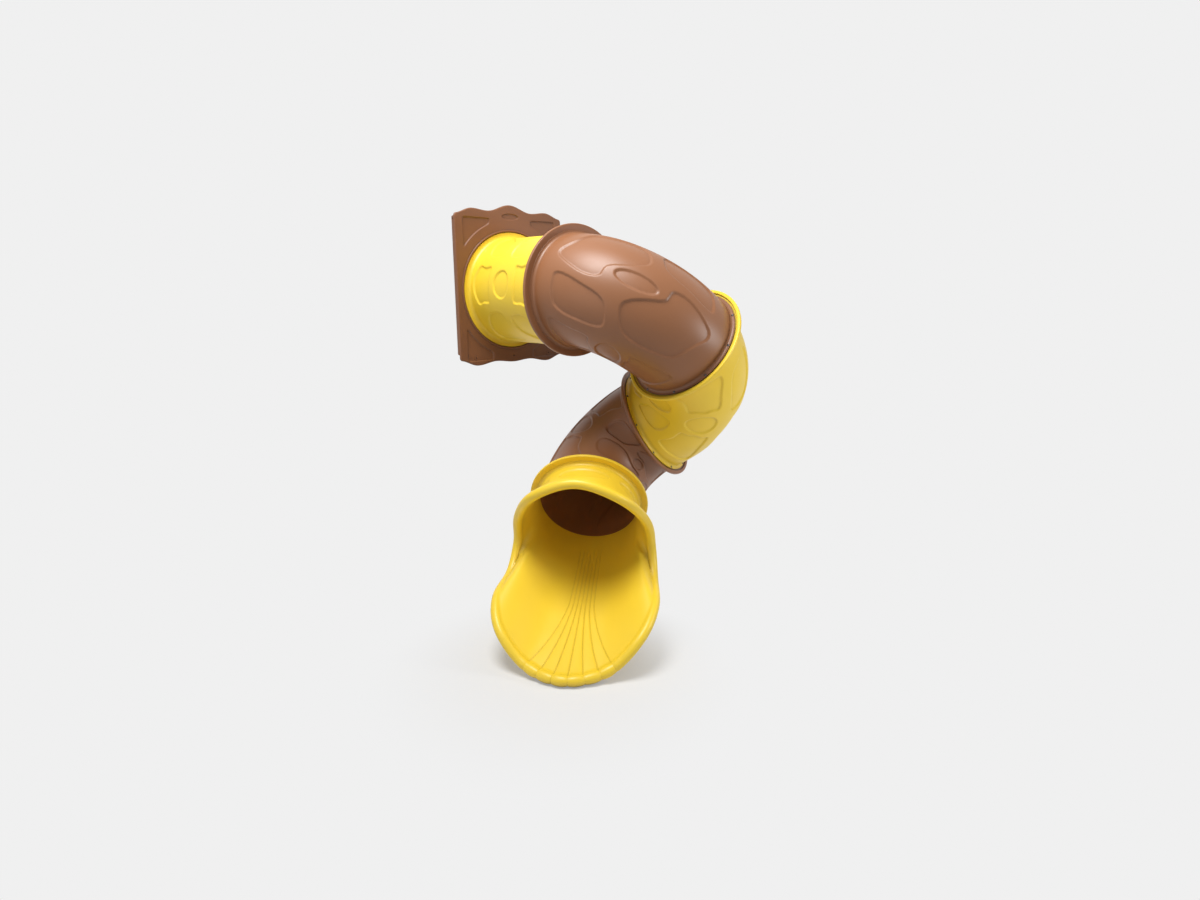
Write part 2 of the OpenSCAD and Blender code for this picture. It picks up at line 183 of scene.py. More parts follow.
# %% [markdown]
# ## Moulded recesses
# The tubes are not plain: shallow recesses with soft walls stiffen the plastic. They
# could be carved with booleans, but a recess on a bent surface is simpler as a depth. Each
# outline is drawn on the unrolled tube, its corners are rounded, and the skin is pushed in where
# a point lies inside, over a soft wall less than a centimetre wide.


# %% Rounded outlines
def rounded(outline, times=2):
    """Cuts the corners of a closed outline, again and again."""
    points = np.array(outline, float)
    for _ in range(times):
        after = np.roll(points, -1, axis=0)
        points = np.stack([0.75 * points + 0.25 * after, 0.25 * points + 0.75 * after], 1).reshape(-1, 2)
    return points


def oval(centre, half, count=28):
    a = np.arange(count) * 2 * pi / count
    return np.stack([centre[0] + half[0] * cos(a), centre[1] + half[1] * sin(a)], 1)


# %% The depth inside an outline
RECESS, RECESS_WALL = 10.0, 9.0


def inside_by(u, v, outline, scale_u, scale_v):
    """How far in mm each point (u, v) lies inside a closed outline; negative outside."""
    best = np.full(u.shape, 1e9)
    within = np.zeros(u.shape, bool)
    for (au, av), (bu, bv) in zip(outline, np.roll(outline, -1, axis=0)):
        px, py = (u - au) * scale_u, (v - av) * scale_v
        dx, dy = (bu - au) * scale_u, (bv - av) * scale_v
        t = np.clip((px * dx + py * dy) / np.maximum(dx * dx + dy * dy, 1e-9), 0, 1)
        best = np.minimum(best, np.hypot(px - t * dx, py - t * dy))
        if av != bv:
            crosses = ((av > v) != (bv > v)) & (u < (bu - au) * (v - av) / (bv - av) + au)
            within ^= crosses
    return np.where(within, best, -best)


def soft_depth(inside, depth, wall):
    """Depth of a recess, eased from nothing to all of it over the width of its wall."""
    t = np.clip(0.5 + inside / wall, 0, 1)
    return depth * t * t * (3 - 2 * t)


# %% [markdown]
# ## The bent tubes
# The three bends are one moulding, used three times. On its outer and inner sides an oval sits
# among four recesses that turn half round into each other, and on both flanks an oval sits
# between two fans. Angles are along the bend (0 to 90) and round the tube (0 on the outside).

# %% Outlines of the recesses on a bend
long_hook = [
    (43.6, -23.6), (46.9, -16.5), (51.3, -10.7), (58.6, -2.9), (59.3, 3.2), (59.5, 11.3),
    (66.5, 13.4), (75.4, 6.2), (83.3, -4), (78, -22.2), (75.7, -39.9), (72.4, -46.7),
    (62.1, -52.7), (51.8, -52), (47.5, -45.2), (44.8, -34.2),
]
short_hook = [
    (11.8, -14.2), (16.8, -14.6), (26, -20.4), (33.1, -23.6), (37.8, -29.5), (40.4, -47.9),
    (38.7, -54.2), (32, -56.3), (19.8, -53.9), (13.9, -47.5), (12.3, -39.5), (11.5, -22.9),
]
fan = [
    (33.5, 16), (32.2, 9), (34.2, 0), (32.2, -9), (33.5, -16), (30.5, -18.5), (21, -20),
    (13.5, -26), (9.5, -28), (7.5, -24), (7, 0), (7.5, 24), (9.5, 28), (13.5, 26), (21, 20),
    (30.5, 18.5),
]
half_turned = lambda outline: [(91 - u, 3 - v) for u, v in outline]
outer_face = [rounded(o) for o in (long_hook, short_hook, half_turned(long_hook), half_turned(short_hook))]
outer_face.append(oval((45.5, 1.5), (9.2, 8)))
flank_face = [rounded(fan), rounded([(92 - u, v) for u, v in fan]), oval((46.5, 0), (8.9, 18))]


# %% Depth of the recesses on a bend
def bend_relief(along, around):
    """Depth in mm at bend angle `along` and round angle `around`, both in degrees."""
    depth = np.zeros(along.shape)
    scale_u = (BEND + TUBE * cos(np.radians(around))) * pi / 180
    scale_v = TUBE * pi / 180
    for centre, outlines in ((0, outer_face), (180, outer_face), (88, flank_face), (-88, flank_face)):
        v = (around - centre + 180) % 360 - 180
        for outline in outlines:
            near = (np.abs(v) < 64) & (along > 3)
            inside = inside_by(along[near], v[near], outline, scale_u[near], scale_v)
            depth[near] = np.maximum(depth[near], soft_depth(inside, RECESS, RECESS_WALL))
    return depth


# %% Points on a bend
def bent_point(theta, radius, around):
    """Point on the bend at angle theta along it, in radians."""
    out = radius * cos(around)
    return np.stack([(BEND + out) * sin(theta), BEND - (BEND + out) * cos(theta), radius * sin(around)], -1)


def straight_point(x, radius, around, after_bend=False):
    """Point on the straight stretch before or after the bend."""
    x, radius, around = np.broadcast_arrays(x, radius, around)
    if after_bend:
        return np.stack([BEND + radius * cos(around), BEND + x, radius * sin(around)], -1)
    return np.stack([x, -radius * cos(around), radius * sin(around)], -1)


# %% The flange at the lower end of a section
FLANGE, FLANGE_THICK, FLANGE_FILLET = 410.0, 9.0, 20.0


def flange_corners(face):
    """Tube, fillet and flange whose face lies at `face`, then the bore."""
    back, fillet = face - FLANGE_THICK, []
    for t in np.linspace(0, pi / 2, 7):
        x = back - FLANGE_FILLET * (1 - sin(t))
        fillet.append((x, TUBE + FLANGE_FILLET * (1 - cos(t)), 0))
    return [(face - SPIGOT, TUBE, 0)] + fillet + [
        (back, TUBE + FLANGE_FILLET + 1, 0.8), (back, FLANGE, 1.5), (face, FLANGE, 1.5),
        (face, BORE, 1.5), (face - 6, BORE, 0),
    ]


# %% The grid of a bent tube
def bend_grid(columns=340, rows=184, bore_rows=22):
    """Bell, fillet, bend and flange on the outside, then back through the bore."""
    around = np.arange(columns) * 2 * pi / columns
    grid = [straight_point(x, r, around) for x, r in bell_line]
    for t in fillet_turns[:-1]:
        x, height = SHOULDER + bell_fillet * (1 - cos(t)), bell_fillet * (1 - sin(t))
        point = bent_point(np.arcsin(x / (BEND + TUBE * cos(around))), TUBE, around)
        grid.append(point + straight_point(0, height, around))
    start = np.arcsin((SHOULDER + bell_fillet) / (BEND + TUBE * cos(around)))
    for t in np.linspace(0, 1, rows):
        theta = start + (pi / 2 - start) * t
        radius = TUBE - bend_relief(np.degrees(theta), np.degrees(around))
        grid.append(bent_point(theta, radius, around))
    for x, r in stepped(softened(flange_corners(SPIGOT)), STEP)[1:]:
        grid.append(straight_point(x, r, around, after_bend=True))
    for t in np.linspace(1, 0, bore_rows):
        theta = np.full(columns, t * pi / 2)
        radius = BORE - bend_relief(np.degrees(theta), np.degrees(around))
        grid.append(bent_point(theta, radius, around))
    return np.stack(grid)


bend = bend_grid()
print("bend grid:", bend.shape)

# %% [markdown]
# ## Bolt holes
# Ten bolts hold each joint. The lower flange is drilled and has a flat seat for each washer, and
# the shoulder below it holds a brass insert in a blind pocket. The holes are true cuts: a set of
# stepped rods is made as one mesh and taken away with one boolean, which is quick with the
# manifold solver because every skin is closed.

# %% Stepped rods
def rods(name, profile, spots, place, sides=24):
    """Closed rods turned from a profile of (x, radius) at spots (x, y, z), along X."""
    a = np.arange(sides) * 2 * pi / sides
    points, faces = [], []
    for x0, y0, z0 in spots:
        first = len(points)
        last = first + (len(profile) - 1) * sides
        for x, r in profile:
            points += [(x0 + x, y0 + r * cos(t), z0 + r * sin(t)) for t in a]
        points += [(x0 + profile[0][0], y0, z0), (x0 + profile[-1][0], y0, z0)]
        low, high = last + sides, last + sides + 1
        for j in range(sides):
            k = (j + 1) % sides
            faces += [(low, first + k, first + j), (high, last + j, last + k)]
            for ring in range(first, last, sides):
                p, q = ring + j, ring + k
                faces += [(p, q, q + sides), (p, q + sides, p + sides)]
    points = np.array(points) @ place[0].T + place[1]
    return mesh_object(name, points, np.array(faces))


# %% The places of the bolts, and the cut
BOLT_CIRCLE, BOLTS = 399.0, 10


def bolt_spots(turn=0, x=0):
    """Centres of the bolts of a joint, turned about the tube."""
    a = np.radians((np.arange(BOLTS) + 0.5) * 360 / BOLTS + turn)
    return [(x, -BOLT_CIRCLE * sin(t), BOLT_CIRCLE * cos(t)) for t in a]


def cut(obj, tool, operation="DIFFERENCE"):
    """Applies one boolean and removes the tool."""
    modifier = obj.modifiers.new("cut", "BOOLEAN")
    modifier.operation, modifier.solver, modifier.object = operation, "MANIFOLD", tool
    bpy.context.view_layer.update()
    result = bpy.data.meshes.new_from_object(obj.evaluated_get(bpy.context.evaluated_depsgraph_get()))
    obj.modifiers.clear()
    before, obj.data = obj.data, result
    bpy.data.meshes.remove(before)
    bpy.data.objects.remove(tool)
    return obj


def smooth_shaded(obj, sharp=70):
    """Smooth shading, with an edge kept sharp where the faces meet at a steep angle."""
    obj.data.shade_smooth()
    obj.data.set_sharp_from_angle(angle=math.radians(sharp))
    return obj


# %% Profiles of the rods
INSERT_R, INSERT_DEEP, BOLT_R, SEAT_R, PAST = 5.55, 10.0, 4.5, 9.0, 0.5
pocket_profile = [(-PAST, INSERT_R), (INSERT_DEEP, INSERT_R)]
flange_profile = [
    (-FLANGE_THICK - FLANGE_FILLET - PAST, SEAT_R), (-FLANGE_THICK, SEAT_R),
    (-FLANGE_THICK, BOLT_R), (PAST, BOLT_R),
]
print("bolts to a joint:", BOLTS, "on a circle of radius", BOLT_CIRCLE)

# %% The three bends
following = {"upper": "middle", "middle": "lower", "lower": "scoop"}
pieces = {}
for name, after in following.items():
    piece = skin(name + "_bend_moulding", bend, places[name])
    cut(piece, rods("pockets", pocket_profile, bolt_spots(), places[name]))
    lower_end = next_place(places[name], 0)
    cut(piece, rods("holes", flange_profile, bolt_spots(turns[after]), lower_end))
    pieces[name + "_bend"] = smooth_shaded(piece)
    print(name, "bend faces:", len(piece.data.polygons))

# %% [markdown]
# ## The entry tube
# A short straight tube with a collar that sits in the panel, and the same kind of recesses: an
# oval with a wing on both sides on each flank, and hooks above and below. One half of the outlines is
# typed and the rest are its mirror images and half turns, as on the real moulding.

# %% Outlines of the recesses on the entry tube
wing = [
    (259, -67), (254, -83), (261, -99), (250, -103), (174, -102), (116, -106), (78, -95),
    (60, -84), (66, -73), (114, -61), (180, -66), (250, -63),
]
left_hook = [
    (176, -50), (151, -46), (111, -33), (84, -18), (98, -10), (150, -9), (228, -17.5), (321, -27),
    (350, -38), (356, -50), (262, -52),
]
right_hook = [
    (436, -51.5), (418, -45), (402, -26), (408, -12), (454, -7), (600, -8), (716, -10),
    (716, -24), (664, -41), (615, -50), (529, -53), (469, -53),
]
flank = [rounded(wing), rounded([(810 - u, v) for u, v in wing]), oval((405, -83), (88, 14.5))]
top = [rounded(left_hook), rounded(right_hook)]
top += [rounded([(810 - u, 14 - v) for u, v in hook]) for hook in (left_hook, right_hook)]
top.append(oval((405, 7), (88, 8)))


def entry_relief(x, around):
    """Depth at x mm below the collar and round angle `around` in degrees from the top."""
    x, around = np.broadcast_arrays(x, around)
    depth = np.zeros(x.shape)
    for turn in (0, 180):
        v = (around + turn + 180) % 360 - 180
        for outline in flank + top:
            inside = inside_by(x, v, outline, 1.0, TUBE * pi / 180)
            depth = np.maximum(depth, soft_depth(inside, RECESS, RECESS_WALL))
    return depth


# %% The entry tube's skin
COLLAR, COLLAR_THICK, COLLAR_FILLET = 428.0, 12.0, 30.0


def tube_point(x, radius, around):
    """Point at a round angle that starts at the top and goes towards +Y."""
    x, radius, around = np.broadcast_arrays(x, radius, around)
    return np.stack([x, radius * sin(around), radius * cos(around)], -1)


def entry_grid(columns=400, rows=128, bore_rows=30):
    """Collar, fillet, tube and flange on the outside, then back through the bore."""
    around = np.arange(columns) * 2 * pi / columns
    hub, tube_from = TUBE + COLLAR_FILLET, COLLAR_THICK + COLLAR_FILLET
    collar = [(0, BORE, 0), (0, COLLAR, 1.5), (COLLAR_THICK, COLLAR, 3), (COLLAR_THICK, hub, 0)]
    for t in np.linspace(pi / 2, 0, 9)[1:]:
        collar.append((tube_from - COLLAR_FILLET * sin(t), hub - COLLAR_FILLET * cos(t), 0))
    grid = [tube_point(x, r, around) for x, r in stepped(softened(collar), STEP)]
    for x in np.linspace(tube_from, ENTRY - FLANGE_THICK - FLANGE_FILLET, rows)[1:-1]:
        grid.append(tube_point(x, TUBE - entry_relief(x, np.degrees(around)), around))
    for x, r in stepped(softened(flange_corners(ENTRY)[1:]), STEP):
        grid.append(tube_point(x, r, around))
    for x in np.linspace(ENTRY - 12, 12, bore_rows):
        grid.append(tube_point(x, BORE - entry_relief(x, np.degrees(around)), around))
    return np.stack(grid)


tube = skin("entry_tube_moulding", entry_grid(), places["entry"])
cut(tube, rods("pockets", pocket_profile, bolt_spots(), places["entry"]))
cut(tube, rods("holes", flange_profile, bolt_spots(turns["upper"], ENTRY), places["entry"]))
pieces["entry_tube"] = smooth_shaded(tube)
print("entry tube faces:", len(tube.data.polygons))

# %% [markdown]
# ## The scoop
# The foot of the slide is an open trough whose edge is rolled outwards. It is drawn
# as the CAD draws it: a curve through nine places gives the rolled edge, a wall runs from the
# round neck to each point of that curve, and a circle there makes the roll. Here it has many more
# points, and the bell and neck belong to the same skin.

# %% The rolled edge as a smooth curve
WIDEST = TUBE + 167
left_keys = np.array([
    (617, 0, 304), (572, 0.55 * WIDEST, 192), (357, TUBE + 80, -29), (257, TUBE + 113, -253),
    (393, TUBE + 140, -449), (702, WIDEST, -520), (929, WIDEST - 76, -654),
    (1034, 0.5 * WIDEST, -845), (1137, 0, -879),
])
left_angles = np.array([0, 33, 65, 90, 104, 113, 127, 152, 180.0])
HALF = len(left_keys) - 1

right_keys = left_keys[-2:0:-1] * [1, -1, 1]
keys = np.concatenate([left_keys, right_keys])
level, up = cos(scoop_slope), sin(scoop_slope)
keys = np.stack([keys[:, 0] * level - keys[:, 2] * up, keys[:, 1], keys[:, 0] * up + keys[:, 2] * level], 1)
key_angles = np.concatenate([left_angles, 360 - left_angles[-2:0:-1]])


# %% Curves through the keys
def through_keys(values, s, per_round=0.0):
    """Smooth curve through values at whole numbers of s, closed after a full round."""
    n = len(values)
    i = np.floor(s).astype(int)
    wide = lambda column: column.reshape((-1,) + (1,) * (values.ndim - 1))
    a, b, c, d = (values[(i + k) % n] + wide(per_round * ((i + k) // n)) for k in (-1, 0, 1, 2))
    t = wide(s - i)
    return (2 * b + (c - a) * t + (2 * a - 5 * b + 4 * c - d) * t**2 + (3 * b - a - 3 * c + d) * t**3) / 2


def eased(values, s, width, per_round=0.0):
    """The same curve, averaged over a stretch to both sides."""
    offsets = np.linspace(-1, 1, 7)
    weights = (1 + cos(pi * offsets)) / 2 + 0.05
    shifted = [w * through_keys(values, s + width * d, per_round) for w, d in zip(weights, offsets)]
    return sum(shifted) / weights.sum()


def unit(v):
    return v / np.linalg.norm(v, axis=-1, keepdims=True)


# %% [markdown]
# The bed has seven fine grooves that run down it side by side and fan out at the foot. Each ends
# at a notch between two lobes of the rolled edge. They are only a centimetre wide, so the grid's
# columns are crowded round them and fan out with them. A groove that crosses the grid
# at an angle would come out as a row of steps.

# %% Places of the grooves and columns
MIDDLE, SIDE_GROOVES = 7.92, 3
LOBE, PITCH = 0.36, 0.145


def fanned(place, t):
    """Where the column that ends at `place` on the edge lies at t along the wall, 0 at the neck."""
    pitch = PITCH + (LOBE - PITCH) * np.clip((t - 0.5) / 0.5, 0, 1) ** 1.3
    away = np.abs(place - MIDDLE)
    blend = np.clip((away - 1.2) / 2.4, 0, 1)
    blend = blend * blend * (3 - 2 * blend)
    return MIDDLE + (place - MIDDLE) * (blend + (1 - blend) * pitch / LOBE)


def crowded(columns):
    """Places along the edge, closer together round the grooves."""
    fine = np.linspace(0, 2 * HALF, 16001)
    count = (fine - MIDDLE) / LOBE
    in_bed = 1 / (1 + np.exp((np.abs(count) - SIDE_GROOVES - 0.6) * 6))
    density = 1 + in_bed * (1.2 + 6 * np.exp(-((count - np.round(count)) / 0.07) ** 2))
    total = np.concatenate([[0], np.cumsum((density[1:] + density[:-1]) / 2)])
    return np.interp(np.arange(columns) / columns * total[-1], total, fine)


def off_groove(place):
    """Steps of a lobe from the nearest groove."""
    count = (place - MIDDLE) / LOBE
    return count - np.clip(np.round(count), -SIDE_GROOVES, SIDE_GROOVES)


# %% The lobes of the rolled edge
LOBE_HIGH, LOBE_SUNK = 8.0, 3.5


def lobed(place):
    """Change of the rolled edge's radius at the foot."""
    fade = np.clip(SIDE_GROOVES + 0.6 - np.abs(place - MIDDLE) / LOBE, 0, 1)
    return fade * (LOBE_HIGH * np.abs(sin(pi * off_groove(place))) ** 0.6 - LOBE_SUNK)


# %% Where the wall starts, and the frame of the rolled edge
NECK, LEAD, CHEEK_LEAD = 60.0, 0.5, 0.3


def wall_start(s):
    """Round angle, its direction, the wall's start, and the point that it bends towards."""
    around = np.radians(eased(key_angles, s, 0.3, 360.0))
    radial = np.stack([0 * around, sin(around), cos(around)], 1)
    start = np.array([NECK - 3, 0, 0]) + BORE * radial
    reach = np.linalg.norm(eased(keys, s, 0.7) - start, axis=1)[:, None]
    at_cheek = np.exp(-(((np.abs(around - pi) - pi / 2) / 0.5) ** 2))[:, None]
    lead = LEAD - (LEAD - CHEEK_LEAD) * at_cheek
    return around, radial, start, start + np.array([1.0, 0, 0]) * lead * reach


def rolled_edge(s, spread=1.2):
    """Centre of the roll, forward and outward directions, eased along the edge."""
    forward = 0
    for d in np.linspace(-spread, spread, 9):
        along = unit(eased(keys, s + d + 0.02, 0.6) - eased(keys, s + d - 0.02, 0.6))
        toward = eased(keys, s + d, 0.3) - wall_start(s + d)[3]
        toward -= np.sum(toward * along, 1, keepdims=True) * along
        forward = forward + (1.1 * spread - abs(d)) * unit(toward)
    along = unit(eased(keys, s + 0.02, 0.6) - eased(keys, s - 0.02, 0.6))
    forward = unit(forward - np.sum(forward * along, 1, keepdims=True) * along)
    return eased(keys, s, 0.3), forward, unit(np.cross(forward, along))


# %% Recesses on the neck, over the top and on both shoulders
NECK_RECESS = 7.0
over_top = [(80, -25), (76, 0), (80, 25), (120, 30), (152, 18), (160, 0), (152, -18), (120, -30)]
shoulder = [(84, 42), (78, 58), (84, 78), (125, 82), (150, 64), (128, 44)]
neck_outlines = [rounded(o) for o in (over_top, shoulder, [(u, -v) for u, v in shoulder])]


def neck_relief(x, around):
    """Depth at x mm below the bell and round angle `around` in degrees from the top."""
    v = (around + 180) % 360 - 180
    inside = [inside_by(x, v, outline, 1.0, TUBE * pi / 180) for outline in neck_outlines]
    return soft_depth(np.max(inside, axis=0), NECK_RECESS, RECESS_WALL)


# %% The roll, and the wall between the neck and the roll
BEAD, WALL = 35.0, 8.0
MEETS = math.radians(-54)
LAST = 2 * pi - math.acos((BEAD * math.cos(MEETS) - WALL) / BEAD)


def bezier(a, b, c, t):
    """Point at t on the curve from a to c that bends towards b."""
    return (1 - t) ** 2 * a + 2 * t * (1 - t) * b + t * t * c


def on_roll(s, a, place):
    """Points at angle a round the roll, for columns that end at `place` on the edge."""
    centre, forward, out = rolled_edge(s)
    radius = (BEAD + lobed(place))[:, None]
    return centre + radius * (sin(a) * forward - cos(a) * out)


def wall(t, place, outer=False):
    """Points at t along the wall's inner or outer face, 0 at the neck and 1 at the roll."""
    s = fanned(place, t)
    around, radial, start, bend_at = wall_start(s)
    if not outer:
        return bezier(start, bend_at, on_roll(s, MEETS, place), t)
    bend_at = bend_at + WALL * unit(rolled_edge(s)[2] + radial)
    points = bezier(start + WALL * radial, bend_at, on_roll(s, LAST, place), t)
    return points - radial * neck_relief(points[:, 0], np.degrees(around))[:, None]


# %% The bed with its grooves
GROOVE_DEPTH, GROOVE_HALF = 2.8, 4.2


def grooved_bed(place, rows):
    """The inner face in rows from the roll to the neck, with the grooves pushed in."""
    steps = np.linspace(1, 0, rows)
    inner = np.stack([wall(t, place) for t in steps])
    across, down = np.gradient(inner, axis=1), np.gradient(inner, axis=0)
    normal = unit(np.cross(across, down))
    normal *= np.sign(normal[..., 2:])
    lobe_mm = np.linalg.norm(across, axis=-1) / np.gradient(place) * LOBE
    off = lobe_mm * off_groove(place)
    fade = np.clip((steps - 0.05) * 20, 0, 1) * np.clip((1 - steps) * 60, 0, 1)
    depth = GROOVE_DEPTH * np.exp(-(off / GROOVE_HALF) ** 2) * fade[:, None] * (inner[..., 2] < 0)
    return inner - normal * depth[..., None]


# %% The scoop's grid
def scoop_grid(columns=600, bed_rows=50, roll_rows=24, outer_rows=32):
    """Bell, neck and outer wall, round the roll, and back over the bed into the bore."""
    place = crowded(columns)
    around = wall_start(fanned(place, 0))[0]
    grid = [tube_point(x, r, around) for x, r in bell_line]
    for t in fillet_turns:
        x, r = SHOULDER + bell_fillet * (1 - cos(t)), TUBE + bell_fillet * (1 - sin(t))
        grid.append(tube_point(x, r, around))
    grid += [wall(t, place, outer=True) for t in np.linspace(0, 1, outer_rows) ** 1.4]
    grid += [on_roll(place, a, place) for a in np.linspace(LAST, MEETS, roll_rows)[1:-1]]
    grid += list(grooved_bed(place, bed_rows))
    grid += [tube_point(x, BORE, around) for x in (40.0, 20.0)]
    return np.stack(grid)


scoop = skin("exit_scoop_moulding", scoop_grid(), places["scoop"])
cut(scoop, rods("pockets", pocket_profile, bolt_spots(), places["scoop"]))
pieces["exit_scoop"] = smooth_shaded(scoop)
print("scoop faces:", len(scoop.data.polygons))

# %% [markdown]
# ## The entry panel
# A flat rotomoulded panel closes the tower round the tube. It is a polar grid about
# the opening: the raised ring and the socket that holds the entry tube are turned shapes, the
# face runs out to the wavy outline, and the edge rolls back into the side flanges.

# %% The wavy outline
HALF_W, FACE, SKIN = 486.0, 38.0, 10.0
TOP_CORNER, HEM_CORNER = 544.0, -511.5
top_keys = [(0, 622), (0.41, 573), (0.68, 585), (1, TOP_CORNER)]
hem_keys = [(0, -544), (0.32, -531), (0.67, -555), (1, HEM_CORNER)]


def wave(wave_keys, y):
    """Height of an edge that waves through its keys, at shares of the half width."""
    s, height = np.abs(y) / HALF_W, np.zeros(len(y))
    for (a, low), (b, high) in zip(wave_keys[:-1], wave_keys[1:]):
        part = (s >= a) & (s <= b)
        height[part] = low + (high - low) * (1 - cos(pi * (s[part] - a) / (b - a))) / 2
    return height


def panel_outline(corner=24.0):
    """Closed outline of (y, z) about the tube's centre, a few mm apart, with rounded corners."""
    y = np.linspace(-HALF_W + corner, HALF_W - corner, 700)
    top = np.stack([y, wave(top_keys, y)], 1)
    hem = np.stack([y, wave(hem_keys, y)], 1)[::-1]
    z = np.linspace(TOP_CORNER - corner, HEM_CORNER + corner, 400)
    right_side = np.stack([np.full(400, HALF_W), z], 1)
    left_side = (right_side * [-1, 1])[::-1]
    turn = np.linspace(0, 1, 16)[1:-1, None]
    round_to = lambda a, side, z, c: bezier(a, np.array([side * HALF_W, z]), c, turn)
    return np.concatenate([
        top, round_to(top[-1], 1, TOP_CORNER, right_side[0]),
        right_side, round_to(right_side[-1], 1, HEM_CORNER, hem[0]),
        hem, round_to(hem[-1], -1, HEM_CORNER, left_side[0]),
        left_side, round_to(left_side[-1], -1, TOP_CORNER, top[0]),
    ])


def evenly(line, count):
    """count points at equal steps along a closed line, and the inward direction at each."""
    closed = np.concatenate([line, line[:1]])
    length = np.concatenate([[0], np.cumsum(np.linalg.norm(np.diff(closed, axis=0), axis=1))])
    spots = np.arange(count) * length[-1] / count
    points = np.stack([np.interp(spots, length, closed[:, k]) for k in (0, 1)], 1)
    along = unit(np.roll(points, -1, axis=0) - np.roll(points, 1, axis=0))
    return points, np.stack([along[:, 1], -along[:, 0]], 1)


edge, inward = evenly(panel_outline(), 700)
print("panel outline points:", len(edge))

# %% The pockets of the panel
RING = 444.0
upper_box, upper_gap = ((190, 7), (416, 519)), 72
lower_box, lower_gap = ((190, -519), (416, -7)), 52
crest_up, crest_long, crest_high = 538, 73, 21
POCKET, POCKET_WALL = 7.0, 8.0


def box_inside(y, z, low, high, corner=14.0):
    """How far inside a rectangle with rounded corners."""
    middle, half = (np.array(low) + high) / 2, (np.array(high) - low) / 2 - corner
    dy, dz = np.abs(y - middle[0]) - half[0], np.abs(z - middle[1]) - half[1]
    outside = np.hypot(np.maximum(dy, 0), np.maximum(dz, 0))
    return corner - outside - np.minimum(np.maximum(dy, dz), 0)


def soft_min(a, b, k=22.0):
    """The smaller of two lengths, with the change between them rounded over k mm."""
    h = np.clip(0.5 + 0.5 * (b - a) / k, 0, 1)
    return b + (a - b) * h - k * h * (1 - h)


def panel_relief(y, z):
    """Depth of the four corner pockets and of the oval in the crest."""
    from_ring = np.hypot(y, z) - RING
    upper = soft_min(box_inside(np.abs(y), z, *upper_box), from_ring - upper_gap)
    lower = soft_min(box_inside(np.abs(y), z, *lower_box), from_ring - lower_gap)
    k0 = np.hypot(y / crest_long, (z - crest_up) / crest_high)
    k1 = np.maximum(np.hypot(y / crest_long**2, (z - crest_up) / crest_high**2), 1e-6)
    crest = -k0 * (k0 - 1) / k1
    return np.max([soft_depth(inside, POCKET, POCKET_WALL) for inside in (upper, lower, crest)], axis=0)


# %% The panel's skin
RING_BACK, RING_FRONT, LIP = 17.0, FACE + 6, 1.5
SIDE_LOW, SIDE_HIGH = -467.0, 534.0


def panel_grid(face_rows=62, roll=9.0):
    """Socket, ring, face and rolled edge, and back along the inside of the skin."""
    angle = np.arctan2(edge[:, 1], edge[:, 0])
    far = np.hypot(edge[:, 0], edge[:, 1])
    ring = lambda x, r: np.stack([np.full(len(edge), x), r * cos(angle), r * sin(angle)], 1)
    spot = lambda x, yz: np.concatenate([np.broadcast_to(x, (len(edge),))[:, None], yz], 1)
    socket = [
        (0, TUBE, 1), (0, BORE, 1), (LEDGE, BORE, 1.5), (LEDGE, COLLAR + 2, 1.5),
        (RING_FRONT, COLLAR + 2, 6.5), (RING_FRONT, RING, 6.5), (FACE, RING, 3), (FACE, RING + 4, 0),
    ]
    grid = [ring(x, r) for x, r in stepped(softened([(RING_BACK, TUBE, 0)] + socket), STEP)[:-1]]
    for t in np.linspace(0, 1, face_rows):
        r = RING + 4 + (far - roll - RING - 4) * t
        y, z = r * cos(angle), r * sin(angle)
        grid.append(np.stack([FACE - panel_relief(y, z), y, z], 1))
    for t in np.linspace(0, pi / 2, 7)[1:]:
        r = (far - roll * (1 - sin(t))) / far
        grid.append(spot(FACE - roll * (1 - cos(t)), edge * r[:, None]))
    on_side = (np.abs(edge[:, 0]) > HALF_W - 0.1) & (edge[:, 1] > SIDE_LOW) & (edge[:, 1] < SIDE_HIGH)
    back = np.where(on_side, 0.0, FACE - SKIN - LIP)
    rolled = [(0.5, 0), (0.94, 0), (1, 1), (1, SKIN - 1), (0.94, SKIN), (0.5, SKIN), (0, SKIN)]
    for depth, inset in rolled:
        front = FACE - roll if inset < SKIN else FACE - SKIN
        grid.append(spot(front * (1 - depth) + back * depth, edge + inset * inward))
    inner = edge + (SKIN + 2) * inward
    ring_edge = RING * np.stack([cos(angle), sin(angle)], 1)
    for t in np.linspace(0, 1, 9):
        grid.append(spot(FACE - SKIN, inner * (1 - t) + t * ring_edge))
    for x, r in softened([(FACE - SKIN, RING, 0), (RING_BACK, RING, 6.5), (RING_BACK, TUBE + 4, 0)]):
        grid.append(ring(x, r))
    return np.stack(grid)


on_panel = (np.eye(3), np.array([0, 0, AXIS_UP]))
panel = skin("entry_panel_moulding", panel_grid(), on_panel)
print("panel faces:", len(panel.data.polygons))

# %% [markdown]
# ## Bosses and holes of the panel
# Three bolts through the foot of the panel hold the slide to the platform, and one through each
# side flange holds it to a post. The bosses behind the skin keep the bolts from crushing it.

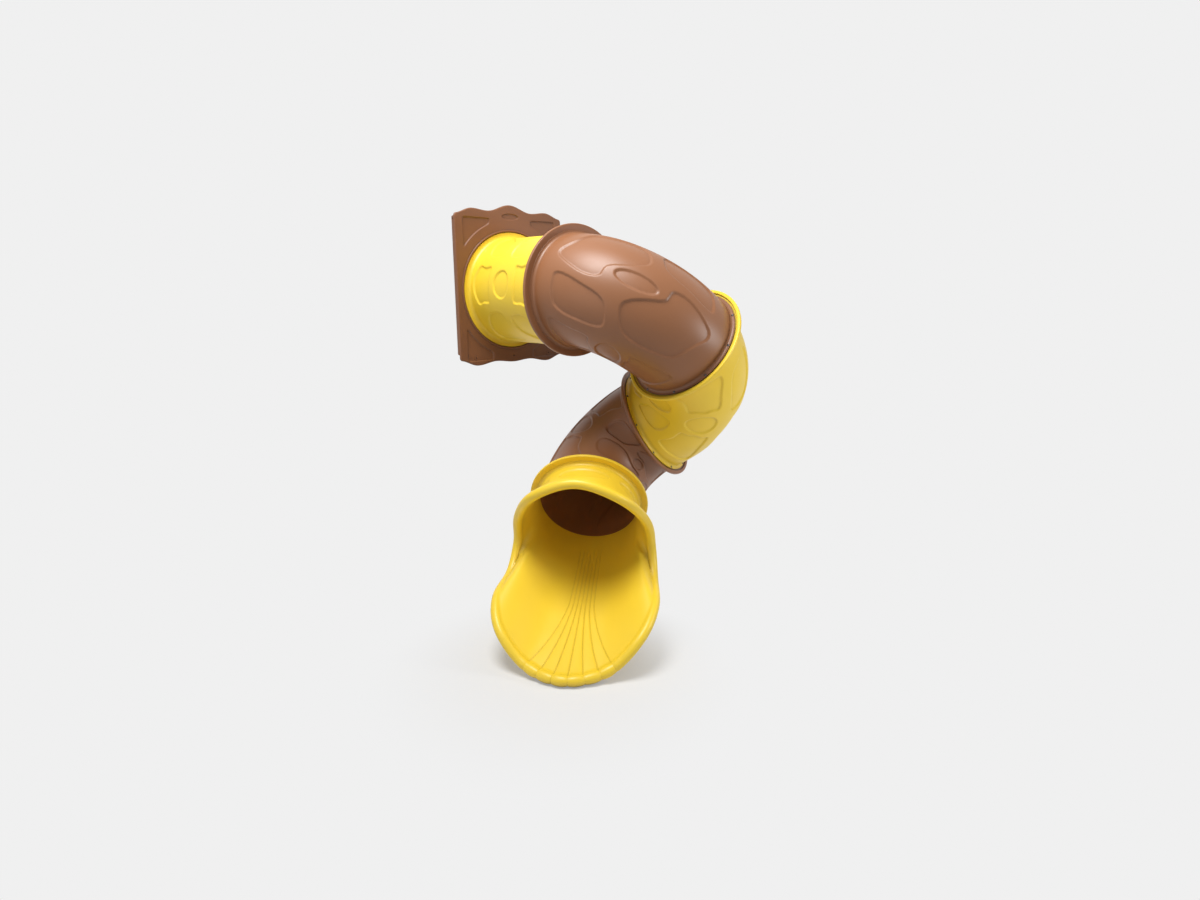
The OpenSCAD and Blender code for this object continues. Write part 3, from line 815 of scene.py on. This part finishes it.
# %% Bosses, platform holes, post holes and joint holes
APART, BOSS_R, HOLE_R = 345, 18.0, 5.5
POST_BACK, POST_UP = 14, 505
platform_spots = [(0, y, -AXIS_UP) for y in (-APART, 0, APART)]
boss_profile = [(0, BOSS_R - 1), (1, BOSS_R), (FACE - SKIN / 2, BOSS_R)]
hole_profile = [(-PAST, HOLE_R), (FACE + PAST, HOLE_R)]
post_profile = [(-HALF_W - 4, HOLE_R), (HALF_W + 4, HOLE_R)]
joint_profile = [(RING_BACK - 1, BOLT_R), (LEDGE + 1, BOLT_R)]
sideways = (turn_z(90), np.array([0, 0, AXIS_UP]))
cut(panel, rods("bosses", boss_profile, platform_spots, on_panel, 32), "UNION")
cut(panel, rods("holes", hole_profile, platform_spots, on_panel))
cut(panel, rods("posts", post_profile, [(0, -POST_BACK, POST_UP)], sideways))
cut(panel, rods("joint", joint_profile, bolt_spots(), on_panel))
pieces["entry_panel"] = smooth_shaded(panel)
print("panel faces after the cuts:", len(panel.data.polygons))

# %% [markdown]
# ## Plastic
# Rotomoulded polyethylene is satin, with a faint orange peel from the mould and colour that is
# not quite even. One flat colour would look like paint. The colour gets a slow mottling, and
# painted shade darkens it where two surfaces meet within four centimetres. The gloss varies
# a little, and a fine bump breaks up the highlights.


# %% Colours
def linear(red, green, blue):
    """Linear colour from the usual 0 to 255 values."""
    def channel(c):
        c /= 255
        return c / 12.92 if c <= 0.04045 else ((c + 0.055) / 1.055) ** 2.4
    return (channel(red), channel(green), channel(blue), 1.0)


def toned(colour, share):
    """The colour made darker or lighter, with no channel above 1."""
    return tuple(min(1.0, share * c) for c in colour[:3]) + (1,)


# %% Helpers for node materials
def new_material(name):
    material = bpy.data.materials.new(name)
    material.use_nodes = True
    nodes = material.node_tree.nodes
    return material, nodes, material.node_tree.links, nodes["Principled BSDF"]


def noise(nodes, links, scale, detail, seed):
    texture = nodes.new("ShaderNodeTexNoise")
    texture.noise_dimensions = "4D"
    texture.inputs["W"].default_value = seed
    texture.inputs["Scale"].default_value = scale
    texture.inputs["Detail"].default_value = detail
    place = nodes.new("ShaderNodeTexCoord")
    links.new(place.outputs["Object"], texture.inputs["Vector"])
    return texture.outputs["Fac"]


def blend(nodes, links, factor, low, high):
    """A colour from low to high, of which each is a colour or the output of a node."""
    mix = nodes.new("ShaderNodeMix")
    mix.data_type = "RGBA"
    links.new(factor, mix.inputs["Factor"])
    for key, value in (("A", low), ("B", high)):
        if isinstance(value, tuple):
            mix.inputs[key].default_value = value
        else:
            links.new(value, mix.inputs[key])
    return mix.outputs["Result"]


def remap(nodes, links, value, limits):
    """The value moved from one range to another; limits that aren't named are 0 and 1."""
    node = nodes.new("ShaderNodeMapRange")
    links.new(value, node.inputs["Value"])
    for key, limit in limits.items():
        node.inputs[key].default_value = limit
    return node


def add_bump(nodes, links, shader, height, strength, distance):
    bump = nodes.new("ShaderNodeBump")
    bump.inputs["Strength"].default_value = strength
    bump.inputs["Distance"].default_value = distance
    links.new(height, bump.inputs["Height"])
    links.new(bump.outputs["Normal"], shader.inputs["Normal"])


# %% Three plastics, one of them a darker copy of the brown that paints shade on the panel
def plastic(name, colour, roughness, seed):
    """Satin plastic: mottled, with painted shade in its corners, uneven gloss and a fine bump."""
    material, nodes, links, shader = new_material(name)
    cloudy = noise(nodes, links, 2.3, 5, seed)
    mottled = blend(nodes, links, cloudy, toned(colour, 0.93), toned(colour, 1.07))
    # Painted shade: the colour falls towards a third of itself where another surface lies within four
    # centimetres.
    corner = nodes.new("ShaderNodeAmbientOcclusion")
    corner.samples = 6
    corner.inputs["Distance"].default_value = 0.04
    unshaded_share = remap(nodes, links, corner.outputs["AO"], {"From Min": 0.45, "From Max": 0.96})
    painted_shade_colour = blend(nodes, links, unshaded_share.outputs["Result"], toned(colour, 0.35), mottled)
    links.new(painted_shade_colour, shader.inputs["Base Color"])
    uneven = {"To Min": roughness - 0.05, "To Max": roughness + 0.05}
    gloss = remap(nodes, links, noise(nodes, links, 9, 4, seed + 3), uneven)
    links.new(gloss.outputs["Result"], shader.inputs["Roughness"])
    add_bump(nodes, links, shader, noise(nodes, links, 320, 2, seed + 5), 0.12, 0.0006)
    shader.inputs["IOR"].default_value = 1.5
    return material


brown = plastic("brown_polyethylene", linear(146, 96, 62), 0.42, 1.0)
# Painted shade: the panel gets a darker copy of the brown, because it stands in shade.
shaded_panel_brown = plastic("shaded_brown_panel_polyethylene", linear(126, 82, 54), 0.46, 3.0)
yellow = plastic("yellow_polyethylene", linear(250, 212, 56), 0.40, 7.0)
print("plastics:", brown.name, shaded_panel_brown.name, yellow.name)

# %% Every moulding rides on the one body and stands for its CAD node
finishes = {
    "entry_panel": (shaded_panel_brown, "brown_plastic"), "entry_tube": (yellow, "yellow_plastic"),
    "upper_bend": (brown, "brown_plastic"), "middle_bend": (yellow, "yellow_plastic"),
    "lower_bend": (brown, "brown_plastic"), "exit_scoop": (yellow, "yellow_plastic"),
}
for node, (material, slot) in finishes.items():
    piece = pieces[node]
    piece.data.materials.clear()
    piece.data.materials.append(material)
    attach(piece, "root")
    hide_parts(node)
    print(node, "->", piece.name, material.name)

# %% [markdown]
# ## Bolts, washers and inserts
# These keep the shape that the CAD gave them. The photo shows no bright bolt in the joints, so the
# steel is a dark, dull one, and the brass inserts are warmer. A fine bump stands for the marks
# that the tool left.


# %% Steel and brass on the CAD nodes
def metal(name, colour, roughness, seed):
    """Metal with a tone that varies a little and the marks of the tool."""
    material, nodes, links, shader = new_material(name)
    shader.inputs["Metallic"].default_value = 1.0
    tone = blend(nodes, links, noise(nodes, links, 60, 6, seed), toned(colour, 0.85), colour)
    links.new(tone, shader.inputs["Base Color"])
    shader.inputs["Roughness"].default_value = roughness
    add_bump(nodes, links, shader, noise(nodes, links, 1500, 2, seed + 2), 0.2, 0.0001)
    return material


steel = metal("darkened_steel", (0.13, 0.13, 0.135, 1), 0.5, 11.0)
brass = metal("turned_brass", (0.76, 0.56, 0.24, 1), 0.38, 15.0)
for name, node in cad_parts.items():
    if name in finishes:
        continue
    material = brass if name.endswith("inserts") else steel
    node.data.materials.clear()
    node.data.materials.append(material)

# %% [markdown]
# ## Floor, light and camera
# The slide is shown on plain pale grey. A curved backdrop could hide the horizon, but it would
# get in the way of the views from behind. So the floor is flat, and away from the foot the camera sees
# it in the backdrop's own grey. Near the foot it stays matt and takes the shadow. A large lamp
# stands above and a little to the left, a small one lights the right side, and a weak one fills
# in from the left. Lengths are in metres from here on.

# %% What the camera sees itself
GREY = 0.871


def seen_share(tree):
    """1 for what the camera sees itself, in a mirror or through glass, and 0 for other rays."""
    path = tree.nodes.new("ShaderNodeLightPath")
    share = path.outputs["Is Camera Ray"]
    for ray in ("Is Glossy Ray", "Is Transmission Ray"):
        largest = tree.nodes.new("ShaderNodeMath")
        largest.operation = "MAXIMUM"
        tree.links.new(share, largest.inputs[0])
        tree.links.new(path.outputs[ray], largest.inputs[1])
        share = largest.outputs["Value"]
    return share


def join_shaders(tree, share, lit, seen, output):
    """Gives the output the shader `seen` by its share, and `lit` for the rest."""
    mix = tree.nodes.new("ShaderNodeMixShader")
    tree.links.new(share, mix.inputs["Fac"])
    tree.links.new(lit, mix.inputs[1])
    tree.links.new(seen, mix.inputs[2])
    tree.links.new(mix.outputs["Shader"], tree.nodes[output].inputs["Surface"])


# %% The floor's material
FOOT, NEAR, FAR, LEAST_GLOW = (0.35, -0.65, 0.0), 0.3, 1.3, 0.3


def floor_material():
    """Pale and matt round the foot, where the shadow falls, and the backdrop's grey further out."""
    material, nodes, links, shader = new_material("studio_floor")
    nodes.remove(shader)
    diffuse = nodes.new("ShaderNodeBsdfDiffuse")
    diffuse.inputs["Color"].default_value = (0.8, 0.8, 0.8, 1)
    glow = nodes.new("ShaderNodeEmission")
    glow.inputs["Color"].default_value = (GREY, GREY, GREY, 1)
    place = nodes.new("ShaderNodeTexCoord")
    away = nodes.new("ShaderNodeVectorMath")
    away.operation = "DISTANCE"
    links.new(place.outputs["Object"], away.inputs[0])
    away.inputs[1].default_value = FOOT
    limits = {"From Min": NEAR, "From Max": FAR, "To Min": LEAST_GLOW}
    reach = remap(nodes, links, away.outputs["Value"], limits)
    reach.interpolation_type = "SMOOTHSTEP"
    share = nodes.new("ShaderNodeMath")
    share.operation = "MULTIPLY"
    links.new(seen_share(material.node_tree), share.inputs[0])
    links.new(reach.outputs["Result"], share.inputs[1])
    lit, seen = diffuse.outputs["BSDF"], glow.outputs["Emission"]
    join_shaders(material.node_tree, share.outputs["Value"], lit, seen, "Material Output")
    return material


# %% The floor
FLOOR_Z = -1.974
bpy.ops.mesh.primitive_circle_add(vertices=96, radius=40, fill_type="NGON", location=(1.0, 0, FLOOR_Z))
floor = bpy.context.object
floor.name = "floor"
floor.data.materials.append(floor_material())
print("floor at", FLOOR_Z)

# %% The world
world = bpy.data.worlds.new("studio")
bpy.context.scene.world = world
world.use_nodes = True
tree = world.node_tree
background = tree.nodes["Background"]
background.inputs["Color"].default_value = (0.9, 0.9, 0.9, 1)
background.inputs["Strength"].default_value = 0.17
backdrop = tree.nodes.new("ShaderNodeBackground")
backdrop.inputs["Color"].default_value = (GREY, GREY, GREY, 1)
lit, seen = background.outputs["Background"], backdrop.outputs["Background"]
join_shaders(tree, seen_share(tree), lit, seen, "World Output")
print("world's strength", background.inputs["Strength"].default_value)

# %% Camera
view = np.array([-0.722305, 0.642905, -0.254850])
camera_up = np.array([-0.190365, 0.169439, 0.966981])
right = np.cross(view, camera_up)
camera_at = np.array([4.91178, -3.42883, 0.53580])
camera = bpy.data.objects.new("camera", bpy.data.cameras.new("camera"))
camera.data.lens = 22.2415
PHOTO_WIDTH, SHIFT_PIXELS = 1200, 30.66
camera.data.shift_y = SHIFT_PIXELS / PHOTO_WIDTH
camera.data.clip_end = 200
columns = np.stack([right, camera_up, -view, camera_at], 1)
camera.matrix_world = Matrix([list(row) for row in columns] + [[0, 0, 0, 1]])
bpy.context.scene.collection.objects.link(camera)
bpy.context.scene.camera = camera
print("camera at", camera_at)

# %% Lamps
middle = np.array([0.9, 0.1, -0.45])
towards_camera = -np.array([view[0], view[1], 0]) / math.hypot(view[0], view[1])


def soft_lamp(name, rightwards, forwards, upwards, size, watts):
    """A round area lamp at an offset from the object's middle, facing it."""
    offset = rightwards * right + forwards * towards_camera + np.array([0, 0, upwards])
    lamp = bpy.data.objects.new(name, bpy.data.lights.new(name, "AREA"))
    lamp.data.shape = "DISK"
    lamp.data.size, lamp.data.energy = size, watts
    lamp.location = Vector(middle + offset)
    lamp.rotation_euler = Vector(-offset).to_track_quat("-Z", "Y").to_euler()
    bpy.context.scene.collection.objects.link(lamp)
    print(name, watts, "W")


soft_lamp("key", -1.1, 1.7, 5.0, 2.8, 340)
soft_lamp("rim", 3.6, 1.3, 0.7, 1.2, 40)
soft_lamp("fill", -3.2, 3.4, 0.8, 2.5, 16)
bpy.context.scene.view_settings.view_transform = "Standard"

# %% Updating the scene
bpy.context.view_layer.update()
